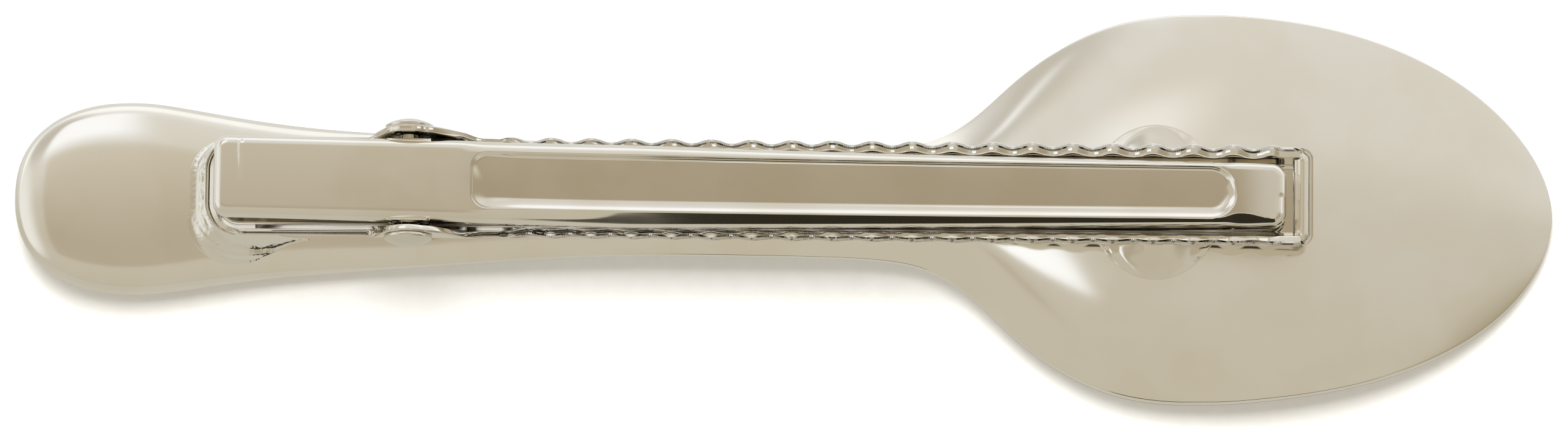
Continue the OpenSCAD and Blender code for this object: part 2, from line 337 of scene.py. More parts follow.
SILVER = plated_metal(
    "silver_plate", (0.93, 0.9, 0.84), (0.9, 0.86, 0.78), rough=0.13, scuff=0.03, ripple=0.02
)
NICKEL = plated_metal(
    "nickel_plate", (0.9, 0.87, 0.81), (0.86, 0.82, 0.74), rough=0.09, scuff=0.03, ripple=0.03
)
RIVET = plated_metal(
    "rivet_plate", (0.88, 0.86, 0.81), (0.8, 0.77, 0.7), rough=0.14, scuff=0.05, ripple=0.05
)
STEEL = plated_metal(
    "spring_wire", (0.5, 0.49, 0.47), (0.36, 0.34, 0.31), rough=0.3, scuff=0.08, ripple=0.1
)
BOSS = plated_metal(
    "boss_solder", (0.9, 0.87, 0.81), (0.84, 0.8, 0.72),
    rough=0.12, scuff=0.04, ripple=0.22, ripple_scale=420.0,
)
SOLDER = plated_metal(
    "solder", (0.9, 0.88, 0.83), (0.82, 0.79, 0.72),
    rough=0.13, scuff=0.05, ripple=0.1, ripple_scale=700.0, crackle=0.12,
)

# ---------------------------------------------------------------- spoon

# Plan of the spoon, and the powers that shape its two rounded ends.
KNOB_HALF = 6.6
WAIST_HALF = 3.85
KNOB_WIDEST = 8.3
BOWL_WIDEST = 79.5
BOWL_REACH = SPOON_LENGTH - BOWL_WIDEST
KNOB_PLAN_POWER = 2.3
KNOB_SIDE_POWER = 3.0
TIP_POWER = 2.3
TIP_ROOT = 0.54
MIRRORED = 4
SPOON_RINGS = 420
SPOON_COLUMNS = 64

# Thickness at the knob, in the bowl and at the very rim.
KNOB_THICK = 4.4
BOWL_WALL = 1.2
LEAST_WALL = 1e-4

# Half-widths, then heights and section shapes, each by station.
OUTLINE = [
    (KNOB_WIDEST, KNOB_HALF), (12, 6.2), (17, 5.45), (24, 4.8), (31, 4.38), (38, 4.0),
    (47, WAIST_HALF), (55, 3.87), (59, 3.95), (62, 4.4), (65, 6.0), (68, 8.75),
    (71.5, 11.35), (75.3, 13.0), (BOWL_WIDEST, BOWL_HALF),
]
edge_height = spline([
    (0, 2.2), (11, 2.15), (22, 1.95), (30, 2.6), (39, 3.35), (50, 3.4), (57, 3.05), (64, 1.95),
    (72, 1.75), (79, 2.1), (87, 2.55), (93, 2.2), (99, 1.3), (103, 0.6), (SPOON_LENGTH, 0.45),
])
crest_height = spline([
    (0, KNOB_THICK), (11, KNOB_THICK), (17, 4.0), (24, 3.6), (32, 4.1), (40, 4.5), (50, 4.55),
    (60, 4.3), (68, 4.35), (78, 4.7), (86, 4.55), (92, 4.0), (97, 3.1), (101, 2.05),
    (103.5, 1.35), (SPOON_LENGTH, 0.9),
])
thickness = spline([
    (0, KNOB_THICK), (10, KNOB_THICK), (18, 3.2), (28, 2.6), (45, 2.5), (58, 2.3), (66, 1.7),
    (74, BOWL_WALL), (97, BOWL_WALL), (SPOON_LENGTH, 0.9),
])
band_height = spline([(0, 0.7), (20, 0.5), (55, 0.5), (72, 0.9), (88, 0.9), (SPOON_LENGTH, 0.9)])
fullness = spline([
    (0, 0.33), (12, 0.38), (24, 0.58), (34, 0.8), (52, 0.9), (60, 1.15), (66, 1.1), (74, 0.9),
    (88, 0.9), (SPOON_LENGTH, 0.9),
])
edge_radius = spline([(0, 0.05), (56, 0.05), (72, 0.08), (88, 0.08), (SPOON_LENGTH, 0.08)])


def outline_curve(count):
    """Stations and half-widths along the spoon's outline, evenly spaced along it.

    A few points are mirrored at each end, so that the curve crosses the centre line squarely.
    """
    knots = [(0.0, 0.0)]
    for angle in range(20, 90, 17):
        s = KNOB_WIDEST * (1 - math.cos(math.radians(angle)))
        u = (KNOB_WIDEST - s) / KNOB_WIDEST
        knots.append((s, KNOB_HALF * (1 - u**KNOB_PLAN_POWER) ** (1 / KNOB_PLAN_POWER)))
    knots += OUTLINE
    for angle in range(14, 90, 14):
        u = math.sin(math.radians(angle))
        knots.append((BOWL_WIDEST + BOWL_REACH * u, BOWL_HALF * (1 - u**TIP_POWER) ** TIP_ROOT))
    knots.append((SPOON_LENGTH, 0.0))
    before = [(s, -w) for s, w in knots[MIRRORED:0:-1]]
    after = [(s, -w) for s, w in knots[-2 : -2 - MIRRORED : -1]]
    route = np.array(before + knots + after)
    run = np.concatenate([[0], np.cumsum(np.hypot(*np.diff(route, axis=0).T))])
    places = np.linspace(run[MIRRORED], run[-1 - MIRRORED], count)
    s = spline(np.column_stack([run, route[:, 0]]))(places)
    w = spline(np.column_stack([run, route[:, 1]]))(places)
    w[0] = w[-1] = 0
    return np.clip(s, 0, SPOON_LENGTH), np.clip(w, 0, BOWL_HALF)


STATIONS, HALF_WIDTHS = outline_curve(SPOON_RINGS)


def knob_share(s):
    """How full the spoon's side profile is, from 0 at the knob's end to 1 past the knob."""
    u = np.clip((KNOB_WIDEST - s) / KNOB_WIDEST, 0, 1)
    return (1 - u**KNOB_SIDE_POWER) ** (1 / KNOB_SIDE_POWER)


def spoon_faces(s, y, w=None):
    """Heights of the spoon's back and of its underside; w is the half-width at the station."""
    w = np.interp(s, STATIONS, HALF_WIDTHS) if w is None else w
    share = knob_share(s)
    edge, band = edge_height(s), band_height(s) / 2 * share
    rise = (crest_height(s) - edge) * share - band
    drop = (edge - crest_height(s) + thickness(s)) * share - band
    v = np.clip(np.abs(y) / np.maximum(w, 1e-6), 0, 1)
    arch = (1 - v * v) ** fullness(s)
    corner = rolled(w - np.abs(y), np.minimum(edge_radius(s), band + 1e-6))
    return edge + band + rise * arch - corner, edge - band - drop * arch + corner


def spoon_back(s, y):
    """Height of the spoon's back at a station and a distance from the centre line."""
    return spoon_faces(s, y)[0]


def make_spoon():
    """The spoon as one closed skin, ring by ring along its length."""
    v = -np.cos(np.linspace(0, np.pi, SPOON_COLUMNS + 1))
    rings = []
    for s, w in zip(STATIONS, HALF_WIDTHS):
        y = v * w
        x = np.full_like(y, at(s))
        back, under = spoon_faces(s, y, w)
        under = np.clip(under, SPOON_LOW[2], back - LEAST_WALL)
        upper, lower = np.column_stack([x, y, back]), np.column_stack([x, y, under])
        rings.append(np.concatenate([upper, lower[::-1]]))
    points, faces = loft(rings, capped=False)
    spoon = mesh_object("spoon_body", points, faces, SILVER)
    return keep(spoon, ROOT_BODY, "spoon_plate", "spoon")


# ---------------------------------------------------------------- lower jaw

# Plan of the rim, and the sheet's section. The walls lean outwards from the bottom by FLARE.
JAW_HALF = 3.45
TAIL_CORNER = 2.3
TIP_CORNER = 0.8
LEAST_CORNER = 0.12
SIDE_END = 1.3
GAUGE = 0.45
WALL = 1.85
FLARE = 0.5
BEND_OUTSIDE, BEND_INSIDE = 0.5, 0.25
BEND_SQUEEZE = 0.8
FLAT_STEP = 0.1
WALL_TOP = TRAY_BOTTOM + WALL
TRAY_FLOOR = TRAY_BOTTOM + GAUGE

# Wavy teeth, and the ears that stand out from the walls round the pin.
TOOTH_PITCH = 2.73
POINTS_PER_TOOTH = 22
TOOTH_HEIGHT = 0.45
TEETH_FROM, TEETH_TO = 33.2, 86.0
TOOTH_FADE = 0.4
EAR_HALF = 3.7
EAR_RADIUS = 1.75
EAR_FROM, EAR_TO = 24.2, 32.2
EAR_TAIL_FOOT, EAR_TIP_FOOT = 0.6, 0.55
EAR_RISE = (WALL_TOP - 0.3, WALL_TOP + 0.7)

# The rim: a rounded outer nib, a bevel that slopes inwards, and a rounded inner edge.
RIM_NIB = 0.13
RIM_FLAT = 0.1
RIM_ROUND = 0.05
RIM_SLOPE = 0.3
RIM_CURL = 0.25
CURL_RUN = 2.0
BEVEL = GAUGE - RIM_FLAT - RIM_ROUND
BEVEL_START = 0.02
BEVEL_STEPS = (0, 0.04, 0.1, BEVEL / 2, BEVEL)
INNER_SINK = 1.2
OUTSIDE_SHARES = np.linspace(0.36, 0.9, 12)
INSIDE_SHARES = np.linspace(0.84, 0.42, 12)

# The toothless ends of the tray: a wider tail rim, rims rolled outwards, a thick sloping tip wall.
TAIL_RIM = 0.2
TAIL_RIM_RUN = (JAW_TAIL + 0.9, JAW_TAIL + 0.1)
PLAIN_TAIL_RUN = (JAW_TAIL + 2.8, JAW_TAIL + 1.2)
PLAIN_TIP_RUN = (JAW_TIP - 1.1, JAW_TIP - 0.5)
END_SINK = 0.1
TAIL_DROP = 0.25
END_RIM = 0.45
END_SLOPE = 0.9
END_DROP = 0.5


def tooth_wave(s):
    """Height of the wavy edge over the plain wall."""
    begun = smoothstep(TEETH_FROM - TOOTH_FADE, TEETH_FROM + TOOTH_FADE, s)
    left = smoothstep(TEETH_TO + TOOTH_FADE, TEETH_TO - TOOTH_FADE, s)
    return begun * left * TOOTH_HEIGHT / 2 * np.sin(2 * np.pi * (s - TEETH_FROM) / TOOTH_PITCH)


def ear_profile(s):
    """Height of the ear's rounded edge over the wall, falling to nothing at its feet."""
    top = PIN_Z - WALL_TOP
    away = np.abs(s - PIN_STATION)
    circle = top + np.sqrt(np.clip(EAR_RADIUS**2 - away**2, 0, None))
    shoulder = top + EAR_RADIUS * math.sqrt(1 - EAR_TAIL_FOOT**2)
    dome = np.where(away < EAR_RADIUS * EAR_TAIL_FOOT, circle, shoulder)
    tail_side = smoothstep(EAR_FROM, PIN_STATION - EAR_RADIUS * EAR_TAIL_FOOT, s)
    tip_side = 1 - smoothstep(PIN_STATION + EAR_RADIUS * EAR_TIP_FOOT, EAR_TO, s)
    return dome * np.where(s < PIN_STATION, tail_side, tip_side)


def tray_loop(inset):
    """Loop round the tray, inset from its rim: columns are station and y."""
    w = JAW_HALF - inset
    r0, r1 = TAIL_CORNER - inset, max(TIP_CORNER - inset, LEAST_CORNER)
    s0, s1 = JAW_TAIL + TAIL_CORNER, JAW_TIP - inset - r1
    side = np.arange(s0, JAW_TIP - SIDE_END, TOOTH_PITCH / POINTS_PER_TOOTH)[1:]
    arc = np.radians(np.arange(0, 91, 6))
    tail_up = [(s0 - r0 * np.cos(a), w - r0 + r0 * np.sin(a)) for a in arc]
    tip_up = [(s1 + r1 * np.sin(a), w - r1 + r1 * np.cos(a)) for a in arc]
    upper = tail_up + [(s, w) for s in side] + tip_up
    return np.array(upper + [(s, -y) for s, y in reversed(upper)])


def end_plane(s, z):
    """Holds stations back to the sloping inner face of the wall at the tip."""
    rise = np.clip((z - WALL_TOP + END_DROP) / END_DROP, 0, 1)
    return np.minimum(s, JAW_TIP - END_RIM - END_SLOPE * (1 - rise))


def wall_loop(inset, share, sunk=0.0):
    """Loop round the wall, this far in from its outer face, at a share of its local height.

    A loop of the rim (share 1) lies lower by sunk. At both ends of the tray, which have no
    teeth, the rim rolls outwards instead.
    """
    rim = tray_loop(0)
    s, y = rim.T
    inner = inset > GAUGE - 2 * RIM_ROUND
    if inset > RIM_FLAT:
        tail = smoothstep(*TAIL_RIM_RUN, s)
        toothed = smoothstep(TEETH_FROM, TEETH_FROM + CURL_RUN, s)
        inset = inset + (TAIL_RIM * tail + RIM_CURL * toothed)
    on_side = np.abs(y) > JAW_HALF - 0.01
    height = WALL + tooth_wave(s) + np.where(on_side, ear_profile(s), 0)
    drop = 0.0
    if share == 1:
        plain_end = smoothstep(*PLAIN_TAIL_RUN, s) + smoothstep(*PLAIN_TIP_RUN, s)
        outward = END_SINK + TAIL_DROP * (1 - np.clip(inset / (GAUGE + TAIL_RIM), 0, 1))
        drop = sunk * (1 - plain_end) + outward * plain_end
    z = TRAY_BOTTOM + share * height - drop
    lean = FLARE * (1 - np.clip((z - TRAY_BOTTOM) / WALL, 0, 1))
    stand = (EAR_HALF - JAW_HALF) * smoothstep(*EAR_RISE, z)
    flat = rim + (tray_loop(1) - rim) * (inset + lean - stand)[:, None]
    s = end_plane(flat[:, 0], z) if inner else flat[:, 0]
    return np.column_stack([at(s), flat[:, 1], z])


def flat_loop(inset, z):
    """Level loop round the tray's bottom or its floor."""
    flat = tray_loop(inset)
    s = end_plane(flat[:, 0], z) if z >= TRAY_FLOOR else flat[:, 0]
    return np.column_stack([at(s), flat[:, 1], np.full(len(flat), z)])


def make_lower_jaw():
    """The tray with its wavy edges and ears, as one bent sheet: up its outside, down its inside."""
    loops = [flat_loop(FLARE + BEND_OUTSIDE + FLAT_STEP, TRAY_BOTTOM)]
    for a in np.radians(np.arange(0, 91, 18)):
        z = TRAY_BOTTOM + BEND_OUTSIDE * (1 - np.cos(a))
        loops.append(flat_loop(FLARE + BEND_SQUEEZE * BEND_OUTSIDE * (1 - np.sin(a)), z))
    for share in OUTSIDE_SHARES:
        loops.append(wall_loop(0, share))
    for a in np.radians([0, 20, 40, 60, 85]):
        loops.append(wall_loop(RIM_NIB * (1 - np.cos(a)), 1, RIM_NIB * (1 - np.sin(a))))
    for further in BEVEL_STEPS:
        loops.append(wall_loop(RIM_FLAT + further, 1, RIM_SLOPE * max(further - BEVEL_START, 0)))
    for a in np.radians([60, 30, 5]):
        sunk = RIM_SLOPE * BEVEL + RIM_ROUND * (INNER_SINK - np.sin(a))
        loops.append(wall_loop(GAUGE - RIM_ROUND * (1 - np.cos(a)), 1, sunk))
    for share in INSIDE_SHARES:
        loops.append(wall_loop(GAUGE, share))
    for a in np.radians(np.arange(90, -1, -18)):
        z = TRAY_FLOOR + BEND_INSIDE * (1 - np.cos(a))
        loops.append(flat_loop(FLARE + GAUGE + BEND_INSIDE * (1 - np.sin(a)), z))
    loops.append(flat_loop(FLARE + GAUGE + BEND_INSIDE + FLAT_STEP, TRAY_FLOOR))
    points, faces = loft(loops)
    jaw = mesh_object("toothed_tray", points, faces, NICKEL)
    return keep(jaw, ROOT_BODY, "clip_plate", "lower_jaw")


# ---------------------------------------------------------------- upper lever

# Plan and sheet of the arm.
LEVER_TAIL_HALF, LEVER_TIP_HALF = 2.85, 2.15
LEVER_TAPER_FROM = 42.0
LEVER_GAUGE = 0.42
LEVER_CORNER = 0.95

# The pressed groove. Its near flank is wide and its far flank steep.
GROOVE_FROM, GROOVE_TO = 31.3, 83.2
GROOVE_HALF = 1.93
GROOVE_TAPER = 0.15
GROOVE_CORNER = 1.1
GROOVE_DEPTH = 0.32
GROOVE_RUN_IN = 3.5
SHALLOW_SHARE = 0.2
NEAR_FLANK, FAR_FLANK, FLANK_TURN = 0.82, 0.3, 1.2
LIP_DEPTH, LIP_WIDTH = 0.022, 0.05

# The margins: near chamfer, widest in a wedge past the groove's tip, and far soft roll.
NEAR_SLOPE = 1.0
CHAMFER_IN, CHAMFER_OUT = (GROOVE_FROM - 1, 44.0), (LEVER_TIP - 0.2, LEVER_TIP - 1)
WEDGE = 0.35
WEDGE_IN, WEDGE_OUT = (GROOVE_TO - 1.2, GROOVE_TO + 0.2), (LEVER_TIP - 0.6, GROOVE_TO + 0.6)
SOFT_IN, SOFT_OUT = (GROOVE_FROM - 1, GROOVE_FROM + 1), (GROOVE_TO - 1, GROOVE_TO + 0.2)
EDGE_ROLL = 0.22
FAR_ROLL = 1.0
TAIL_ROLL = 0.75
NEAR_TIP_ROLL, END_TIP_ROLL, FAR_TIP_ROLL = 2.0, 0.8, 0.6
NEAR_TIP_RUN = (82, 86)
MARGIN_SPLIT = GROOVE_TO - 20

# The thumb pad: a slight crown, and the creased bend near its end.
CROWN = 0.011
CROWN_RUN = (34, 26)
BEND_STATION = 15.6
BEND_DROP, BEND_RUN = 0.07, 1.8
CREASE_DEPTH, CREASE_WIDTH, CREASE_RUN = 0.07, 0.14, (-0.6, 1.6)

# The skirts under the edge, and the lugs.
TAIL_SKIRT, FULL_SKIRT, LEAST_SKIRT = 0.8, 1.3, 0.04
LUG_RADIUS = 1.5
LUG_BORE = 0.65
LUG_GAUGE = 0.4
LUG_INSET, LUG_DROP = 0.02, 0.3

lever_top = spline([
    (LEVER_TAIL, 10.19), (22, 9.68), (31, 9.12), (36.4, 8.75), (44.7, 8.4), (53, 8.15),
    (61.3, 7.97), (69.6, 7.87), (78, 7.8), (83, 7.67), (LEVER_TIP, 7.4),
])


def lever_taper(s):
    """0 along the lever's parallel tail, rising to 1 at its tip."""
    return np.clip((s - LEVER_TAPER_FROM) / (LEVER_TIP - LEVER_TAPER_FROM), 0, 1)


def lever_half(s):
    """Half-width of the lever, corners aside."""
    return LEVER_TAIL_HALF + (LEVER_TIP_HALF - LEVER_TAIL_HALF) * lever_taper(s)


def rounded_inset(s, y, s0, s1, half, corner0, corner1):
    """Distance inside a strip with rounded ends; negative outside it."""
    middle = (s0 + s1) / 2
    corner = np.where(s < middle, corner0, corner1)
    qs = np.where(s < middle, s0 + corner - s, s - (s1 - corner))
    qy = np.abs(y) - (half - corner)
    outside = np.hypot(np.maximum(qs, 0), np.maximum(qy, 0))
    return corner - outside - np.minimum(np.maximum(qs, qy), 0)


def lever_margin(s, y, edge, beside_groove):
    """Drop of the lever's margin, from its distance to the edge and its width by the groove.

    The near margin is a pressed chamfer from the groove's tail end to the lever's tip, and
    the far one a soft roll along the groove. Elsewhere both are plainly rolled.
    """
    near_tip = NEAR_TIP_ROLL + (END_TIP_ROLL - NEAR_TIP_ROLL) * smoothstep(*NEAR_TIP_RUN, s)
    tip_roll = np.where(y < 0, near_tip, FAR_TIP_ROLL)
    plain = rolled(edge, np.where(s < MARGIN_SPLIT, TAIL_ROLL, tip_roll))
    wide = beside_groove + WEDGE * (smoothstep(*WEDGE_IN, s) * smoothstep(*WEDGE_OUT, s))
    chamfer = NEAR_SLOPE * (wide - np.minimum(edge, wide)) + rolled(edge, EDGE_ROLL)
    pressed = smoothstep(*CHAMFER_IN, s) * smoothstep(*CHAMFER_OUT, s)
    soft = rolled(np.minimum(edge, beside_groove), FAR_ROLL) - rolled(beside_groove, FAR_ROLL)
    along = smoothstep(*SOFT_IN, s) * (1 - smoothstep(*SOFT_OUT, s))
    return plain + np.where(y < 0, (chamfer - plain) * pressed, (soft - plain) * along)


def groove_relief(s, y, inside):
    """Drop of the groove at a distance inside its outline, with a fine crease along it."""
    flank = NEAR_FLANK + (FAR_FLANK - NEAR_FLANK) * smoothstep(0, FLANK_TURN, y)
    climb = 1 - np.clip(inside / flank, 0, 1)
    full = smoothstep(GROOVE_FROM, GROOVE_FROM + GROOVE_RUN_IN, s)
    depth = GROOVE_DEPTH * (SHALLOW_SHARE + (1 - SHALLOW_SHARE) * full)
    return depth * (1 - climb**2) + LIP_DEPTH * ridge(inside, 0, LIP_WIDTH)


def lever_surface(s, y):
    """Height of the lever's pressed top: shaped margins, a creased groove, a bent tail."""
    half = lever_half(s)
    well = GROOVE_HALF - GROOVE_TAPER * lever_taper(s)
    edge = rounded_inset(s, y, LEVER_TAIL, LEVER_TIP, half, LEVER_CORNER, LEVER_CORNER)
    inside = rounded_inset(s, y, GROOVE_FROM, GROOVE_TO, well, GROOVE_CORNER, well - 0.01)
    pressed = lever_margin(s, y, edge, half - well) + groove_relief(s, y, inside)
    crown = CROWN * y * y * smoothstep(*CROWN_RUN, s)
    bent = BEND_DROP * np.clip((BEND_STATION - s) / BEND_RUN, 0, 1)
    crease = CREASE_DEPTH * ridge(s, BEND_STATION, CREASE_WIDTH) * smoothstep(*CREASE_RUN, y)
    return lever_top(s) - pressed - crown - bent - crease


def lever_stations():
    """Rows along the lever, close together at its ends and at the ends of the groove."""
    near = np.linspace(0, 1, 22) ** 1.6 * 1.2
    rows = [LEVER_TAIL + near, LEVER_TIP - near]
    rows.append(np.arange(LEVER_TAIL + 1.1, LEVER_TAIL + 2.4, 0.06))
    rows.append(np.arange(LEVER_TAIL + 2.4, LEVER_TIP - 1.4, 0.6))
    rows.append(np.arange(GROOVE_FROM - 0.5, GROOVE_FROM + 1.5, 0.055))
    rows.append(np.arange(GROOVE_TO - 2.6, GROOVE_TO + 0.5, 0.055))
    rows.append(np.arange(GROOVE_TO + 0.5, LEVER_TIP - 1.2, 0.15))
    rows = np.unique(np.round(np.concatenate(rows), 3))
    return rows[np.concatenate([[True], np.diff(rows) > 0.012])]


def lever_columns():
    """Positions across the lever as shares of its half-width, dense on the flanks and edge."""
    edge = 1 - np.linspace(0, 1, 14) ** 1.8 * 0.2
    flank = np.linspace(0.4, 0.82, 34)
    flat = np.linspace(0, 0.38, 6)
    half = np.unique(np.round(np.concatenate([flat, flank, edge]), 4))
    return np.concatenate([-half[:0:-1], half])


def plan_half(s):
    """Half-width of the lever's plan, with its rounded corners."""
    return lever_half(s) - rolled(np.minimum(s - LEVER_TAIL, LEVER_TIP - s), LEVER_CORNER)


def lever_skirt(edge):
    """Open skin down from the loop of points round the lever's edge."""
    s = edge[:, 0] - SPOON_LOW[0]
    depth = TAIL_SKIRT + (FULL_SKIRT - TAIL_SKIRT) * smoothstep(LEVER_TAIL, 31, s)
    bottom = np.minimum(lever_top(s) - depth, edge[:, 2] - LEAST_SKIRT)
    loops = []
    for share in (0, 0.3, 0.65, 1):
        loop = edge.copy()
        loop[:, 2] += (bottom - edge[:, 2]) * share
        loops.append(loop)
    return loft(loops, capped=False)


def make_upper_lever():
    """The pressed arm: its top skin and skirts, given an even gauge, with two lugs."""
    s, v = np.meshgrid(lever_stations(), lever_columns(), indexing="ij")
    y = v * plan_half(s)
    top = np.column_stack([at(s).ravel(), y.ravel(), lever_surface(s, y).ravel()])
    rows, columns = s.shape
    index = np.arange(rows * columns).reshape(rows, columns)
    rim = np.concatenate([index[:, 0], index[-1, 1:], index[-2::-1, -1], index[0, -2:0:-1]])
    points, faces = joined([(top, grid_faces(rows, columns, False)), lever_skirt(top[rim])])
    lever = mesh_object("pressed_lever", points, faces, NICKEL, merge=1e-4)
    solid = lever.modifiers.new("gauge", "SOLIDIFY")
    solid.thickness = LEVER_GAUGE * MM
    solid.offset = -1
    solid.use_even_offset = True
    apply_modifiers(lever)
    merge_into(lever, make_lugs())
    return keep(lever, LEVER_BODY, "clip_plate", "upper_lever")


def lug(y0, y1, headroom):
    """Plate round the pin with a bore: round below the pin, square above it up to its headroom."""
    angles = np.linspace(0, 2 * np.pi, 48, endpoint=False)
    across, up = np.cos(angles), np.sin(angles)
    to_side = LUG_RADIUS / np.maximum(np.abs(across), 1e-6)
    to_top = headroom / np.maximum(up, 1e-6)
    reach = np.where(up > 0, np.minimum(to_side, to_top), LUG_RADIUS)

    def loop(radius, y):
        x, z = PIN_X + radius * across, PIN_Z + radius * up
        return np.column_stack([x, np.full_like(angles, y), z])

    bores, rims = [loop(LUG_BORE, y) for y in (y0, y1)], [loop(reach, y) for y in (y0, y1)]
    return loft([bores[0], *rims, bores[1], bores[0]], capped=False)


def make_lugs():
    """The two plates that hold the pin, hung under the lever."""
    outer = float(lever_half(PIN_STATION)) - LUG_INSET
    headroom = float(lever_top(PIN_STATION)) - PIN_Z - LUG_DROP
    plates = [lug(side * outer, side * (outer - LUG_GAUGE), headroom) for side in (1, -1)]
    return mesh_object("lugs", *joined(plates), NICKEL)


# ---------------------------------------------------------------- rivet and spring

SHANK_RADIUS = 0.6
HEAD_RIM = 0.25
HEAD_CHAMFER = 0.1
TURN_STEPS = 64
DOME_STEPS = 16


def make_rivet():
    """Shank and two domed heads, turned about the pin's axis."""
    head = (RIVET_HIGH[2] - RIVET_LOW[2]) / 2
    rim = EAR_HALF + HEAD_RIM
    dome = RIVET_HIGH[1] - rim
    ball = (head**2 + dome**2) / (2 * dome)
    half = [(SHANK_RADIUS, 0.0), (SHANK_RADIUS, EAR_HALF), (head - HEAD_CHAMFER, EAR_HALF)]
    half += [(head, EAR_HALF + 0.08), (head, rim - 0.06)]
    for k in range(DOME_STEPS + 1):
        a = math.asin(head / ball) * (1 - k / DOME_STEPS)
        half.append((ball * math.sin(a), rim + dome - ball + ball * math.cos(a)))
    profile = half[::-1] + [(r, -y) for r, y in half[1:]]
    rivet = mesh_object("domed_rivet", *turned(profile, TURN_STEPS), RIVET)
    return keep(rivet, ROOT_BODY, "rivet_steel", "hinge_rivet")


WIRE_RADIUS = 0.19
WIRE_SIDES = 14
COIL_RADIUS = 1.13
COIL_PITCH = 0.44
COIL_TURNS = 5.5
COIL_STEPS = 32
COIL_DROP = 0.32
LEG_STEPS = 10
UPPER_LEG_GAP, LOWER_LEG_GAP = 0.06, 0.04
UPPER_LEG_STATION, LOWER_LEG_STATION = 17.5, 16.5


def make_spring():
    """Torsion spring: a coil hung on the pin, with both legs towards the tail."""
    half, z0 = COIL_TURNS * COIL_PITCH / 2, PIN_Z - COIL_DROP
    turn = np.arange(int(COIL_TURNS * COIL_STEPS) + 1) / COIL_STEPS
    a = 2 * np.pi * turn
    x, z = PIN_X + COIL_RADIUS * np.sin(a), z0 + COIL_RADIUS * np.cos(a)
    coil = np.column_stack([x, half - COIL_PITCH * turn, z])
    under_lever = float(lever_top(UPPER_LEG_STATION)) - LEVER_GAUGE - WIRE_RADIUS - UPPER_LEG_GAP
    upper_end = np.array((at(UPPER_LEG_STATION), half, under_lever))
    lower_end = np.array((at(LOWER_LEG_STATION), -half, TRAY_FLOOR + WIRE_RADIUS + LOWER_LEG_GAP))
    share = np.arange(LEG_STEPS)[:, None] / LEG_STEPS
    upper_leg = upper_end + (coil[0] - upper_end) * share
    lower_leg = lower_end + (coil[-1] - lower_end) * share
    route = np.concatenate([upper_leg, coil, lower_leg[::-1]])
    loops = []
    for i, point in enumerate(route):
        along = route[min(i + 1, len(route) - 1)] - route[max(i - 1, 0)]
        along /= np.linalg.norm(along)
        up = np.cross((0, 1, 0), along)
        up /= np.linalg.norm(up)
        out = np.cross(along, up)
        t = np.linspace(0, 2 * np.pi, WIRE_SIDES, endpoint=False)[:, None]
        loops.append(point + WIRE_RADIUS * (np.cos(t) * up + np.sin(t) * out))
    spring = mesh_object("torsion_coil", *loft(loops), STEEL)
    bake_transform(spring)
    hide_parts("torsion_spring")
    return spring


# ---------------------------------------------------------------- solder

# Boss under the tray: a dome on a thin patch. Reach is along the spoon and width across it.
BOSS_STATION = 77.8
DOME_REACH, DOME_WIDTH, DOME_HEIGHT, DOME_POWER = 3.2, 5.35, 1.0, 1.4
PATCH_REACH, PATCH_WIDTH, PATCH_THICK = 4.7, 5.6, 0.012
PATCH_EDGE, EDGE_TUCK = 0.98, 0.05
PUCKER_HEIGHT, PUCKER_SIZE, PUCKER_PITCH = 0.03, 0.12, 0.5
PUCKER_IN, PUCKER_OUT, PUCKER_SIDE = (2.7, 3.2), (4.5, 3.9), (5.0, 4.2)
TRAY_GAP, TRAY_REACH, CEILING_SLOPE = 0.03, 2.9, 10
BOSS_FOOT, BOSS_CORE = 0.25, 0.3
PATCH_RINGS, PATCH_SPOKES = 60, 180

# Fillet round the tray's tail: d is the distance out from the wall and run its share of the width.
FILLET_END, FILLET_FULL = 20.2, 15.4
FILLET_INSIDE, FILLET_LEAST = -0.5, -0.35
FILLET_SIDE, FILLET_BEHIND, FILLET_NEAR = 0.75, 0.75, 0.95
FILLET_LIP, FILLET_CLIMB, FILLET_POWER = 0.08, 0.7, 2.2
FILLET_TUCK, FILLET_LOWEST, FILLET_FOOT = 0.04, 0.02, 0.3
CREST_AT, CREST_WIDTH, CREST_HEIGHT = 0.3, 0.2, 0.12
CREST_LUMPS, CREST_PITCH = 0.16, 0.6
CREST_BEHIND, CREST_FADE = (0.55, 0.95), (1.0, 0.8)
BEAD_AT, BEAD_WIDTH, BEAD_HEIGHT, BEAD_FADE = 0.75, 0.3, 0.24, (1.0, 0.75)
FILLET_STEP = 0.12
FILLET_COLUMNS = 30

WAVES = 14


def lumps(points, size, seed, pitch):
    """Smooth pseudo-random offsets for points, from a few waves in random directions."""
    rng = random.Random(seed)
    total = np.zeros(len(points))
    for _ in range(WAVES):
        a = rng.uniform(0, 2 * math.pi)
        k = rng.uniform(0.6, 1.7) * 2 * math.pi / pitch
        wave = points[:, 0] * math.cos(a) * k + points[:, 1] * math.sin(a) * k
        total += np.sin(wave + rng.uniform(0, 2 * math.pi))
    return size * total / WAVES


